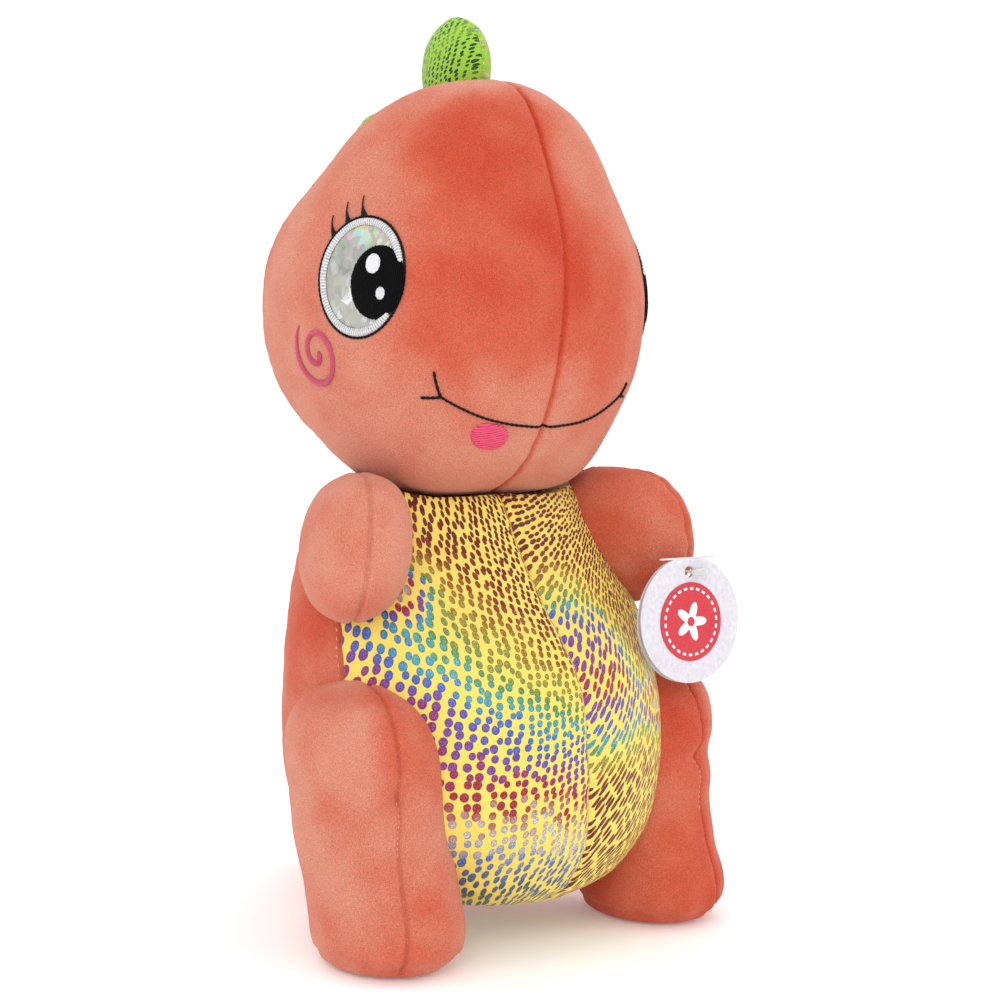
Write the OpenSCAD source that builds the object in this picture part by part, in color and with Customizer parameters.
// Stuffed dinosaur: sewn velour panels round fibre fill, with an embroidered face.
// It faces -Y and stands on its two soles and its tail. Sizes are in millimetres.

/* [Head] */
// Width of the head from cheek to cheek
head_w = 169; // [150:1:190]
// Depth of the head from muzzle to nape
head_d = 167; // [148:1:188]
// Height of the head
head_h = 184; // [165:1:205]
// How far the crown leans forward
crown_lean = 17; // [8:1:24]
// Height of the head's centre above the floor
head_z = 280; // [270:1:305]

/* [Torso] */
// Width of the torso at the hips
torso_w = 172; // [150:1:190]
// How far the belly stands in front of the torso's spine
belly_reach = 95; // [80:1:108]
// How far the back stands behind the torso's spine
back_reach = 62; // [52:1:72]
// How far round from the front the belly panels reach, in degrees
belly_edge = 70; // [60:1:80]
// Height of the torso's neck edge above the floor
torso_top = 206; // [198:1:210]
// Height of the seat above the floor
seat_z = 12; // [8:1:20]

/* [Arms] */
// Length of an arm from shoulder to paw
arm_l = 74; // [60:1:86]
// Thickness of an arm
arm_t = 46; // [36:1:52]
// Height of an arm
arm_h = 62; // [50:1:70]
// Distance of an arm's middle from the midline
arm_x = 70; // [66:1:80]
// Height of an arm's middle above the floor
arm_z = 171; // [160:1:180]

/* [Legs] */
// Width of a leg
leg_w = 62; // [50:1:70]
// Depth of a leg from heel to toe
leg_d = 76; // [64:1:86]
// Height of the top of a leg
leg_top = 118; // [104:1:130]
// Distance of a leg's middle from the midline
leg_x = 70; // [64:1:78]
// Height of the sewn sole
sole_h = 6; // [4:0.5:9]

/* [Tail] */
// Width of the tail at its root
tail_w = 80; // [64:1:90]
// How far the tail's tip stands behind the torso's spine
tail_reach = 130; // [112:1:140]

/* [Spikes] */
// Thickness of a spike
spike_t = 22; // [16:1:28]
// Length of a spike along the seam
spike_l = 44; // [34:1:50]
// Height that a spike stands above the seam
spike_h = 40; // [32:1:46]

/* [Face] */
// Width of an eye over its stitched ring
eye_w = 40; // [34:1:44]
// Height of an eye over its stitched ring
eye_h = 51; // [43:1:55]
// Width of the white satin-stitched ring
ring_w = 3; // [2:0.5:5]
// Width of a pupil
pupil_w = 23; // [18:1:26]
// Height of a pupil
pupil_h = 30; // [24:1:34]
// Width of the embroidered cheek swirl's thread
swirl_w = 2; // [1.5:0.1:3]
// Width of the tongue
tongue_w = 18; // [14:1:22]

/* [Hang tag] */
// Diameter of the folded card
card_d = 56; // [46:1:64]
// Thickness of the card
card_t = 0.6; // [0.4:0.1:1]
// Diameter of the hole for the fastener
card_hole_d = 5; // [3.5:0.5:6]

/* [Cloth] */
// Thickness of the velour with its pile
skin_t = 1.6; // [1.2:0.1:2.4]

/* [Movement] */
// How far the head nods forward and back, in degrees
nod = 4; // [2:1:6]
// How far an arm swings up, in degrees
swing = 20; // [10:1:25]
// How far an arm swings down, in degrees, before the tag would meet the leg
swing_down = 3; // [0:1:4]
// How far the tail wags to each side, in degrees
wag = 14; // [8:1:18]

/* [Hidden] */

around = 24;                  // columns of points round a soft body, 15 degrees apart
col = 360 / around;
gap = 0.2;                    // room between pieces sewn to one body
play = 0.6;                   // room between pieces that move on each other
thread = 0.3;                 // embroidery starts this far above the cloth

velour = "coral";
foil_yellow = "khaki";
foil_green = "yellowgreen";
fibre = "whitesmoke";
pink = "deeppink";

spine_y = 8;                  // the torso's spine, before the frame is centred
head_y = 14;                  // the head's centre, before the frame is centred
tail_tip_y = spine_y + tail_reach;
belly_y = spine_y - belly_reach;
centre_y = (tail_tip_y + belly_y) / 2;  // middle of the toy from belly to tail tip

// ---- soft bodies: a grid of points in rows, and the segment that the cloth is drawn in towards ----

function unit(v) = v / norm(v);
function limit(v, lo, hi) = min(hi, max(lo, v));
function nearest(p, a, b) = a + limit(((p - a) * (b - a)) / max(1e-6, (b - a) * (b - a)), 0, 1) * (b - a);
function drawn_in(p, a, b, t) = let (c = nearest(p, a, b)) p - t * unit(p - c);
function grid_in(soft, t) = [for (row = soft[0]) [for (p = row) drawn_in(p, soft[1], soft[2], t)]];
function columns(grid, from, to) = [for (row = grid) [for (j = [from:to]) row[j % around]]];
function aim(lon, pol) = [sin(pol) * sin(lon), -sin(pol) * cos(lon), cos(pol)];

function real_faces(faces, pts) = [
    for (f = faces)
        if (norm(cross(pts[f[1]] - pts[f[0]], pts[f[2]] - pts[f[0]])) > 1e-5) f
];

// A closed solid between two grids of points. With loop, the columns run all the way round.
// With flip, the facets are split the other way, so that the right side mirrors the left.
module slab(outer, inner, loop = false, flip = false) {
    rows = len(outer);
    cols = len(outer[0]);
    pts = [for (grid = [outer, inner]) for (row = grid) for (p = row) p];
    last = loop ? cols - 1 : cols - 2;
    function at(side, i, j) = side * rows * cols + i * cols + j % cols;
    faces = [
        for (i = [0:rows - 2]) for (j = [0:last])
            each flip ? [
                [at(0, i, j), at(0, i, j + 1), at(0, i + 1, j)],
                [at(0, i, j + 1), at(0, i + 1, j + 1), at(0, i + 1, j)],
                [at(1, i, j), at(1, i + 1, j), at(1, i, j + 1)],
                [at(1, i, j + 1), at(1, i + 1, j), at(1, i + 1, j + 1)]
            ] : [
                [at(0, i, j), at(0, i + 1, j + 1), at(0, i + 1, j)],
                [at(0, i, j), at(0, i, j + 1), at(0, i + 1, j + 1)],
                [at(1, i, j), at(1, i + 1, j), at(1, i + 1, j + 1)],
                [at(1, i, j), at(1, i + 1, j + 1), at(1, i, j + 1)]
            ],
        for (j = [0:last])
            each [
                [at(0, 0, j), at(1, 0, j + 1), at(0, 0, j + 1)],
                [at(0, 0, j), at(1, 0, j), at(1, 0, j + 1)],
                [at(0, rows - 1, j), at(0, rows - 1, j + 1), at(1, rows - 1, j + 1)],
                [at(0, rows - 1, j), at(1, rows - 1, j + 1), at(1, rows - 1, j)]
            ],
        if (!loop) for (i = [0:rows - 2])
            each [
                [at(0, i, 0), at(1, i + 1, 0), at(1, i, 0)],
                [at(0, i, 0), at(0, i + 1, 0), at(1, i + 1, 0)],
                [at(0, i, cols - 1), at(1, i, cols - 1), at(1, i + 1, cols - 1)],
                [at(0, i, cols - 1), at(1, i + 1, cols - 1), at(0, i + 1, cols - 1)]
            ]
    ];
    polyhedron(pts, real_faces(faces, pts));
}

// A closed solid inside one grid whose first and last rows are single points.
module lump(grid) {
    rows = len(grid);
    cols = len(grid[0]);
    pts = [for (row = grid) for (p = row) p];
    faces = [
        for (i = [0:rows - 2]) for (j = [0:cols - 1])
            let (a = i * cols + j, b = i * cols + (j + 1) % cols,
                 c = (i + 1) * cols + j, d = (i + 1) * cols + (j + 1) % cols)
            each j < cols / 2 ? [[a, d, c], [a, b, d]] : [[a, b, c], [b, d, c]]
    ];
    polyhedron(pts, real_faces(faces, pts));
}

module whole(soft, grow = 0) lump(grid_in(soft, -grow));
module stuffing(soft) lump(grid_in(soft, skin_t));
module panel(soft, from, to)
    slab(columns(soft[0], from, to), columns(grid_in(soft, skin_t), from, to), flip = from >= around / 2);

// Makes one mesh of cut cloth, at its own size.
module one_mesh() resize([0, 0, 0]) union() children();

// ---- head ----

head_c = [0, head_y, head_z];
head_bottom = head_z - head_h / 2;
upper_power = 2.05;           // the crown is nearly an ellipse, the jowls are a little squarer
lower_power = 2.2;
crown_rows = [0, 20, 38, 54, 70, 86, 102, 118, 134, 150, 165, 180];

function head_reach(d) = let (
        share = limit(d.z / 0.4, -1, 1),
        n = (upper_power * (1 + share) + lower_power * (1 - share)) / 2) pow(
    pow(abs(d.x) / (head_w / 2), n) + pow(abs(d.y) / (head_d / 2), n) + pow(abs(d.z) / (head_h / 2), n),
    -1 / n);
function leant(p) = let (s = max(0, (p.z / (head_h / 2) - 0.43) / 0.5)) p - [0, crown_lean * s * s, 0];
function head_at(d, t = 0) = head_c + leant((head_reach(d) + t) * d);

head = [[for (pol = crown_rows) [for (j = [0:around - 1]) head_at(aim(j * col, pol))]], head_c, head_c];
side_seam = 8;                // column of the seam between the face and the back of the head
back_seam = around / 2;

neck_y = head_y;              // the neck's axis, where the head nods and turns
neck_ring_r = 21;
neck_ring_z = head_bottom + 4.6;

// The pocket in the underside of the head that holds the gathered neck stitching.
module neck_room() translate([0, neck_y, head_bottom - 10]) cylinder(r = neck_ring_r + 4, h = 18, $fn = 32);

// The dish that the head sits in: round, so that the head can turn in it, and wide enough to nod.
dish_pols = [180, 165, 150, 134, 118, 105];
module head_ball() translate(head_c) rotate_extrude($fn = 36) polygon([
    for (pol = dish_pols) let (r = head_reach(aim(45, pol)) + play + 0.2) [r * sin(pol), r * cos(pol)],
    [0, 0]
]);
module head_room() hull() for (a = [-nod, 0, nod])
    translate([0, neck_y, head_bottom]) rotate([a, 0, 0]) translate([0, -neck_y, -head_bottom]) head_ball();

module head_skin(from, to) color(velour) one_mesh() difference() {
    panel(head, from, to);
    neck_room();
}

module head_fill() color(fibre) one_mesh() difference() {
    stuffing(head);
    neck_room();
}

// ---- embroidery, laid on the head's own surface ----

// A point u towards the front and v up from a centre at a longitude and polar angle, t above the cloth.
function on_head(spot, u, v, t) =
    let (d = aim(spot[0], spot[1]),
         forward = aim(spot[0] - 90, 90),
         up = cross(forward, d),
         r = head_reach(d))
    head_at(unit(r * d + u * forward + v * up), t);
function turned(p, a) = [p.x * cos(a) - p.y * sin(a), p.x * sin(a) + p.y * cos(a)];
function oval(w, h, share, a) = [share * w / 2 * cos(a), share * h / 2 * sin(a)];
function oval_row(spot, mid, w, h, tilt, share, t, n) = [
    for (k = [0:n - 1])
        let (p = mid + turned(oval(w, h, share, -k * 360 / n), tilt)) on_head(spot, p.x, p.y, t)
];

// An oval patch between two heights above the cloth.
module oval_patch(spot, mid, w, h, tilt, low, high, n = 18) {
    shares = [0.01, 0.55, 1];
    slab([for (s = shares) oval_row(spot, mid, w, h, tilt, s, high, n)],
         [for (s = shares) oval_row(spot, mid, w, h, tilt, s, low, n)], loop = true);
}

// A band of satin stitch round an oval.
module oval_band(spot, mid, w, h, band, tilt, low, high, n = 20) {
    sizes = [[w - 2 * band, h - 2 * band], [w, h]];
    slab([for (s = sizes) oval_row(spot, mid, s[0], s[1], tilt, 1, high, n)],
         [for (s = sizes) oval_row(spot, mid, s[0], s[1], tilt, 1, low, n)], loop = true);
}

// A line of stitches along a path of [u, v, width].
module stitched_line(spot, path, low, high) {
    n = len(path);
    function tangent(i) = let (a = path[max(0, i - 1)], b = path[min(n - 1, i + 1)]) unit([b.x - a.x, b.y - a.y]);
    function edge(i, side) = let (q = tangent(i)) [path[i].x - side * q.y, path[i].y + side * q.x];
    function row(i, t) = [
        for (side = [path[i].z / 2, -path[i].z / 2]) let (e = edge(i, side)) on_head(spot, e.x, e.y, t)
    ];
    slab([for (i = [0:n - 1]) row(i, high)], [for (i = [0:n - 1]) row(i, low)]);
}

eye_spot = [62, 87.5];          // longitude and polar angle of an eye's middle
eye_tilt = -6;
outline_w = 0.8;
pupil_mid = [6.6, -3.2];

module eye_foil() color("silver")
    oval_patch(eye_spot, [0, 0], eye_w - 2 * ring_w - 2 * gap, eye_h - 2 * ring_w - 2 * gap, eye_tilt, thread, 0.5, 20);
module eye_ring() color("white")
    oval_band(eye_spot, [0, 0], eye_w, eye_h, ring_w, eye_tilt, thread, 1.2);
module eye_outline() color("black")
    oval_band(eye_spot, [0, 0], eye_w + 2 * (outline_w + gap), eye_h + 2 * (outline_w + gap),
              outline_w, eye_tilt, thread, 0.9);
module eye_pupil() color("black")
    oval_patch(eye_spot, pupil_mid, pupil_w, pupil_h, eye_tilt, 1.4, 1.9);
module eye_glints() color("white") {
    oval_patch(eye_spot, pupil_mid + [-1.8, 7.4], 6.2, 8.2, eye_tilt, 2, 2.4, 12);
    oval_patch(eye_spot, pupil_mid + [1.2, -4.4], 4, 5.2, eye_tilt, 2, 2.4, 12);
}

// One lash: a curved taper that leaves the outline at an angle round the eye.
lash_l = 10;
module eyelash(angle) {
    w = eye_w / 2 + outline_w + 2 * gap;
    h = eye_h / 2 + outline_w + 2 * gap;
    root = turned([(w + 0.8) * cos(angle), (h + 0.8) * sin(angle)], eye_tilt);
    stitched_line(eye_spot, [
        for (k = [0:4]) let (s = k / 4)
            [root.x - 2.2 * sin(180 * s) * 0.6 - 1.5 * s, root.y + s * lash_l, 2.2 - 1.7 * s]
    ], thread, 0.9);
}
lash_angles = [100, 121, 142];
module eyelashes() color("black") for (a = lash_angles) eyelash(a);

swirl_spot = [76, 110];
swirl_turns = 590;            // degrees that the swirl winds through
module cheek_swirl() color(pink) stitched_line(swirl_spot, [
    for (k = [0:34])
        let (s = k / 34, a = 740 - swirl_turns * s, r = 1.6 + 12.6 * pow(s, 1.15))
        [r * cos(a), 1.15 * r * sin(a), swirl_w]
], thread, 1.4);

mouth_spot = [0, 126];
mouth_half = 48;            // distance of a mouth corner from the midline
mouth_drop = 9.5;             // how far the mouth's middle hangs below its corners
mouth_mid = -7.4;
mouth_w = 1.2;
module mouth_line() {
    steps = 24;
    stitched_line(mouth_spot, [
        for (k = [0:steps]) let (s = 2 * k / steps - 1)
            [mouth_half * 1.12 * s, mouth_mid + mouth_drop * s * s, mouth_w]
    ], thread, 0.9);
}
module mouth_tick(side) {
    corner = [side * (mouth_half * 1.12 + 1.4), mouth_mid + mouth_drop + 0.8];
    stitched_line(mouth_spot, [for (k = [0:3]) [corner.x + side * k * 0.4, corner.y + 0.8 + k * 2.6, mouth_w]],
                  thread, 0.9);
    stitched_line(mouth_spot, [for (k = [0:2]) [corner.x + side * (1 + k * 2), corner.y - 1.4 - k * 0.4, mouth_w]],
                  thread, 0.9);
}
module mouth_stitching() color("black") {
    mouth_line();
    for (side = [-1, 1]) mouth_tick(side);
}

tongue_h = tongue_w * 0.76;
module tongue() color(pink)
    oval_patch(mouth_spot, [24.5, mouth_mid + 1.6 - tongue_h / 2 - mouth_w], tongue_w, tongue_h, 0, thread, 1.3);

// ---- torso ----

// Shares of the torso's height, half width, belly reach and back reach, from the top down.
torso_shape = [
    [1.000, 0.00, 0.00, 0.00], [0.995, 0.50, 0.15, 0.40], [0.964, 0.66, 0.21, 0.60],
    [0.915, 0.77, 0.33, 0.70], [0.815, 0.885, 0.455, 0.90], [0.749, 0.925, 0.56, 0.96],
    [0.688, 0.955, 0.665, 0.985], [0.588, 0.985, 0.855, 1.00], [0.474, 1.00, 0.97, 1.00],
    [0.323, 0.995, 1.00, 0.97], [0.194, 0.92, 0.985, 0.89], [0.113, 0.81, 0.885, 0.80],
    [0.066, 0.70, 0.79, 0.69], [0.021, 0.48, 0.57, 0.50], [0.000, 0.00, 0.00, 0.00]
];
torso_h = torso_top - seat_z;
belly_seam = 5;               // column of the seam at the belly's edge
function half_turn(j) = j <= belly_seam
    ? j * belly_edge / belly_seam
    : belly_edge + (j - belly_seam) * (180 - belly_edge) / (back_seam - belly_seam);
function torso_ring(row) = [
    for (j = [0:around - 1])
        let (a = j <= back_seam ? half_turn(j) : -half_turn(around - j),
             reach = cos(a) > 0 ? row[2] * belly_reach : row[3] * back_reach)
        [row[1] * torso_w / 2 * sin(a), spine_y - reach * cos(a), seat_z + row[0] * torso_h]
];
torso = [
    [for (row = torso_shape) torso_ring(row)],
    [0, spine_y, seat_z + 0.35 * torso_h], [0, spine_y, seat_z + 0.75 * torso_h]
];
module torso_panel(from, to) one_mesh() difference() {
    panel(torso, from, to);
    head_room();
}
module torso_skin(from, to) color(velour) torso_panel(from, to);
module belly_skin(from, to) color(foil_yellow) torso_panel(from, to);
module body_fill() color(fibre) one_mesh() difference() {
    stuffing(torso);
    head_room();
}

// The ring of thread that gathers the neck: it lies in the pocket under the head.
module neck_stitching() color(velour)
    translate([0, neck_y, neck_ring_z]) rotate_extrude($fn = 64) translate([neck_ring_r, 0]) circle(r = 0.8, $fn = 16);

// The wad of fibre that the neck ring is gathered round.
module neck_fill() color(fibre)
    translate([0, neck_y, neck_ring_z - 1.2]) cylinder(r = neck_ring_r - 1.5, h = 3.4, $fn = 48);

// ---- legs ----

// Height, shift outwards, forward lean, and shares of the leg's half width and half depth.
leg_shape = [
    [1.00, 4, 24, 0.00, 0.00], [0.95, 4, 24, 0.50, 0.48], [0.88, 4, 25, 0.80, 0.74], [0.77, 3, 26, 0.95, 0.90],
    [0.60, 1, 27, 1.00, 0.98], [0.44, 0, 29, 1.02, 0.98], [0.28, 0, 35, 0.98, 0.98], [0.17, 0, 40, 0.97, 0.96],
    [0.10, 0, 38, 0.94, 0.94], [0.05, 0, 35, 0.85, 0.86], [0.00, 0, 30, 0.70, 0.72]
];
sole_lean = leg_shape[len(leg_shape) - 1][2];
function leg_ring(row) = [
    for (j = [0:around - 1])
        let (a = j * col + 15)
        [leg_x + row[1] + row[3] * leg_w / 2 * sin(a), -row[2] - row[4] * leg_d / 2 * cos(a), row[0] * leg_top]
];
leg = [
    [for (row = leg_shape) leg_ring(row), [for (j = [0:around - 1]) [leg_x, -sole_lean, 0]]],
    [leg_x, -sole_lean - 3, 30], [leg_x + 3, -26, leg_top - 32]
];

module above_sole() translate([-200, -200, sole_h + gap / 2]) cube([400, 400, 400]);
module leg_skin(from, to) color(velour) one_mesh() difference() {
    intersection() {
        panel(leg, from, to);
        above_sole();
    }
    whole(torso, gap);
}
module leg_fill() color(fibre) one_mesh() difference() {
    intersection() {
        stuffing(leg);
        above_sole();
    }
    whole(torso, gap);
}
module leg_sole() color(velour) one_mesh() difference() {
    intersection() {
        whole(leg);
        translate([-200, -200, 0]) cube([400, 400, sole_h - gap / 2]);
    }
    whole(torso, gap);
}

// ---- arms ----

arm_turn = 22;                // how far an arm points outwards from straight ahead
arm_y = -16;                  // an arm's middle, before the frame is centred
arm_c = [arm_x, arm_y, arm_z];
arm_dir = aim(arm_turn, 90);
shoulder = [arm_x - 10, 2, arm_z + 2];  // where the arm swings, at the root sewn to the side
function arm_at(d) = let (
        along = d * arm_dir, across = d * aim(arm_turn + 90, 90),
        n = 2.3, r = pow(pow(abs(along) / (arm_l / 2), n) + pow(abs(across) / (arm_t / 2), n)
                         + pow(abs(d.z) / (arm_h / 2), n), -1 / n))
    arm_c + r * d + [r * d.z * 0.1 * -1, 0, 0];
arm = [
    [for (pol = crown_rows) [for (j = [0:around - 1]) arm_at(aim(j * col + arm_turn, pol))]],
    arm_c - 10 * arm_dir, arm_c + 10 * arm_dir
];

// What an arm is cut by, so that it clears the torso through its whole swing.
module shoulder_room() for (a = [-swing_down, 0, swing])
    translate(shoulder) rotate([a, 0, 0]) translate(-shoulder) whole(torso, play);

module arm_skin(from, to) color(velour) one_mesh() difference() {
    panel(arm, from, to);
    shoulder_room();
    fastener_bar_room();
}
module arm_fill() color(fibre) one_mesh() difference() {
    stuffing(arm);
    shoulder_room();
    fastener_bar_room();
}

// ---- tail ----

// Shares of the tail's reach, then its height, and shares of its half width for the ring's two radii.
tail_shape = [
    [0.15, 60, 0.00, 0.00], [0.17, 60, 0.85, 0.85], [0.40, 51, 0.98, 1.00], [0.60, 38, 0.85, 0.95],
    [0.76, 28, 0.64, 0.75], [0.90, 20, 0.39, 0.50], [0.98, 17, 0.16, 0.22], [1.00, 17, 0.00, 0.00]
];
function tail_ring(row) = [
    for (j = [0:around - 1])
        let (a = j * col)
        [-row[2] * tail_w / 2 * sin(a), spine_y + row[0] * tail_reach,
         max(0, row[1] + row[3] * tail_w / 2 * cos(a))]
];
tail = [
    [for (row = tail_shape) tail_ring(row)],
    [0, spine_y + 0.35 * tail_reach, 50], [0, spine_y + 0.85 * tail_reach, 22]
];
tail_root = [0, spine_y + 42, 50];       // the wagging axis

module tail_room() for (a = [-wag, 0, wag])
    translate(tail_root) rotate([0, 0, a]) translate(-tail_root) {
        whole(torso, play);
        for (side = [0, 1]) mirror([side, 0, 0]) whole(leg, play);
    }
module tail_skin(from, to) color(velour) one_mesh() difference() {
    panel(tail, from, to);
    tail_room();
}
module tail_fill() color(fibre) one_mesh() difference() {
    stuffing(tail);
    tail_room();
}

// ---- spikes ----

spike_rows = [0, 30, 60, 90, 120, 150, 180];
spike_around = 16;
// A spike's grid at a foot on the seam, leaning back from upright by an angle, at a share of full size.
function spike_grid(foot, lean, size, thin) = [
    for (pol = spike_rows) [
        for (j = [0:spike_around - 1])
            let (d = aim((j + 0.5) * 360 / spike_around, pol),
                 p = [d.x * (size * spike_t / 2 - thin), d.y * (size * spike_l / 2 - thin),
                      0.35 * size * spike_h + d.z * (0.65 * size * spike_h - thin)])
            foot + [p.x, p.y * cos(lean) + p.z * sin(lean), -p.y * sin(lean) + p.z * cos(lean)]
    ]
];
module spike_cover(foot, lean, size) color(foil_green) one_mesh() difference() {
    lump(spike_grid(foot, lean, size, 0));
    lump(spike_grid(foot, lean, size, skin_t));
    children();
}
module spike_core(foot, lean, size) color(fibre) one_mesh() difference() {
    lump(spike_grid(foot, lean, size, skin_t));
    children();
}

// Each spike is [foot, lean, size]. The foot is a point on the seam.
head_feet = [11, 46, 92];     // degrees back from the crown
head_leans = [0, 38, 86];
head_sizes = [1, 0.96, 0.8];
function head_spike(k) = [head_at([0, sin(head_feet[k]), cos(head_feet[k])], -3), head_leans[k], head_sizes[k]];
function back_spike(share, size) = [[0, spine_y + back_reach - 2, seat_z + share * torso_h], 84, size];
upper_spike = back_spike(0.74, 0.68);
lower_spike = back_spike(0.5, 0.62);
rear_spike = [[0, spine_y + 0.62 * tail_reach, 38 + 0.93 * tail_w / 2 - 4], 26, 0.55];

module cover_of(s) spike_cover(s[0], s[1], s[2]) children();
module core_of(s) spike_core(s[0], s[1], s[2]) children();

// ---- care label and closing stitches ----

label_t = 0.8;
label_w = 13;                 // how far the folded label stands out of the back
label_h = 24;
label_z = seat_z + 0.3 * torso_h;
// A folded satin label sewn to the left of the tail.
module care_label() color("white") one_mesh() difference() {
    translate([0, spine_y, label_z]) rotate([0, 0, -40])
        translate([0, back_reach / 2 + label_w, 0]) cube([label_t, back_reach + 2 * label_w, label_h], center = true);
    whole(torso, gap);
}

// Short stitches across the back seam, where the toy was stuffed and closed.
module closing_stitches() color(velour) for (k = [0:4])
    translate([0, spine_y + back_reach + 0.9, seat_z + (0.583 + 0.017 * k) * torso_h])
        rotate([0, 90, 0]) cylinder(r = 0.5, h = 5, center = true, $fn = 16);

// ---- hang tag ----

tag_x = arm_x - 0.5;
tag_y = -66;                  // front of the back leaf, before the frame is centred
tag_hole_z = arm_z - 14;
fold_h = 6;                   // the fold's height above the hole
tag_drop = card_d / 2 - fold_h - 1;  // the card's middle below its hole
leaf_gape = 3;                // degrees that the front leaf stands open

module leaf() rotate([90, 0, 0]) linear_extrude(card_t) difference() {
    intersection() {
        translate([0, -tag_drop]) circle(d = card_d, $fn = 64);
        translate([-card_d, fold_h - 2 * card_d]) square([2 * card_d, 2 * card_d]);
    }
    circle(d = card_hole_d, $fn = 32);
}
module on_front_leaf() translate([0, -card_t - 0.3, fold_h]) rotate([-leaf_gape, 0, 0]) translate([0, 0, -fold_h]) children();
// One card folded in half: two leaves and the fold that joins them above the hole.
module tag_card() color("white") translate([tag_x, tag_y, tag_hole_z]) {
    leaf();
    on_front_leaf() leaf();
    translate([0, -card_t - 0.15, fold_h]) cube([0.55 * card_d, 2 * card_t + 0.3, 0.7], center = true);
}
// A plain round emblem printed on the front leaf.
module tag_print() color("crimson") translate([tag_x, tag_y, tag_hole_z])
    on_front_leaf() translate([0, -card_t - 0.05, -tag_drop - 1])
        rotate([90, 0, 0]) linear_extrude(0.3) circle(d = 0.62 * card_d, $fn = 48);

// Nylon fastener: a bar inside the arm, a thin neck through the card and a flat paddle in front.
pin_l = 32;
pin_front = 4.5;              // how far the paddle stands in front of the back leaf
module tag_fastener() color("gainsboro") translate([tag_x, tag_y - pin_front, tag_hole_z]) {
    rotate([-90, 0, 0]) cylinder(r = 0.5, h = pin_l, $fn = 24);
    translate([0, pin_l, 0]) rotate([0, 90, 0]) cylinder(r = 0.7, h = 9, center = true, $fn = 24);
    translate([3, 0.1, 0]) rotate([90, 0, 0]) linear_extrude(0.8) hull() {
        translate([-3, 0]) circle(r = 1.2, $fn = 24);
        translate([4, 0]) circle(r = 2, $fn = 24);
    }
}
module fastener_bar_room() translate([tag_x, tag_y - pin_front, tag_hole_z]) {
    rotate([-90, 0, 0]) cylinder(r = 0.5 + gap, h = pin_l, $fn = 16);
    translate([0, pin_l, 0]) rotate([0, 90, 0]) cylinder(r = 0.7 + gap, h = 10, center = true, $fn = 16);
}

// ---- the assembly ----

module placed() translate([0, -centre_y, 0]) children();
module mirrored() translate([0, -centre_y, 0]) mirror([1, 0, 0]) children();

placed() belly_skin(0, belly_seam);  // belly_left
placed() belly_skin(around - belly_seam, around);  // belly_right
placed() torso_skin(belly_seam, back_seam);  // back_left
placed() torso_skin(back_seam, around - belly_seam);  // back_right
placed() body_fill();
placed() leg_skin(0, back_seam);  // left_leg_outer
placed() leg_skin(back_seam, around);  // left_leg_inner
placed() leg_sole();  // left_leg_sole
placed() leg_fill();  // left_leg_fill
mirrored() leg_skin(0, back_seam);  // right_leg_outer
mirrored() leg_skin(back_seam, around);  // right_leg_inner
mirrored() leg_sole();  // right_leg_sole
mirrored() leg_fill();  // right_leg_fill
placed() cover_of(upper_spike) whole(torso, gap);  // back_spike_upper
placed() cover_of(lower_spike) whole(torso, gap);  // back_spike_lower
placed()  // back_spike_fill
    for (s = [upper_spike, lower_spike]) core_of(s) whole(torso, gap);
placed() care_label();
placed() closing_stitches();
placed() neck_stitching();
placed() neck_fill();
placed() head_skin(0, side_seam);  // head_face_left
placed() head_skin(around - side_seam, around);  // head_face_right
placed() head_skin(side_seam, back_seam);  // head_back_left
placed() head_skin(back_seam, around - side_seam);  // head_back_right
placed() head_fill();
placed() eye_foil();  // eye_foil_left
placed() eye_ring();  // eye_ring_left
placed() eye_outline();  // eye_outline_left
placed() eye_pupil();  // eye_pupil_left
placed() eye_glints();  // eye_glints_left
placed() eyelashes();  // eyelashes_left
mirrored() eye_foil();  // eye_foil_right
mirrored() eye_ring();  // eye_ring_right
mirrored() eye_outline();  // eye_outline_right
mirrored() eye_pupil();  // eye_pupil_right
mirrored() eye_glints();  // eye_glints_right
mirrored() eyelashes();  // eyelashes_right
placed() cheek_swirl();  // cheek_swirl_left
mirrored() cheek_swirl();  // cheek_swirl_right
placed() mouth_stitching();
placed() tongue();
placed() cover_of(head_spike(0)) whole(head, gap);  // head_spike_front
placed() cover_of(head_spike(1)) whole(head, gap);  // head_spike_middle
placed() cover_of(head_spike(2)) whole(head, gap);  // head_spike_rear
placed()  // head_spike_fill
    for (k = [0:2]) core_of(head_spike(k)) whole(head, gap);
placed() arm_skin(0, back_seam);  // left_arm_outer
placed() arm_skin(back_seam, around);  // left_arm_inner
placed() arm_fill();  // left_arm_fill
mirrored() arm_skin(0, back_seam);  // right_arm_outer
mirrored() arm_skin(back_seam, around);  // right_arm_inner
mirrored() arm_fill();  // right_arm_fill
placed() tail_skin(back_seam, around);  // tail_left
placed() tail_skin(0, back_seam);  // tail_right
placed() tail_fill();
placed() cover_of(rear_spike) whole(tail, gap);  // tail_spike
placed() core_of(rear_spike) whole(tail, gap);  // tail_spike_fill
placed() tag_card();
placed() tag_print();
placed() tag_fastener();
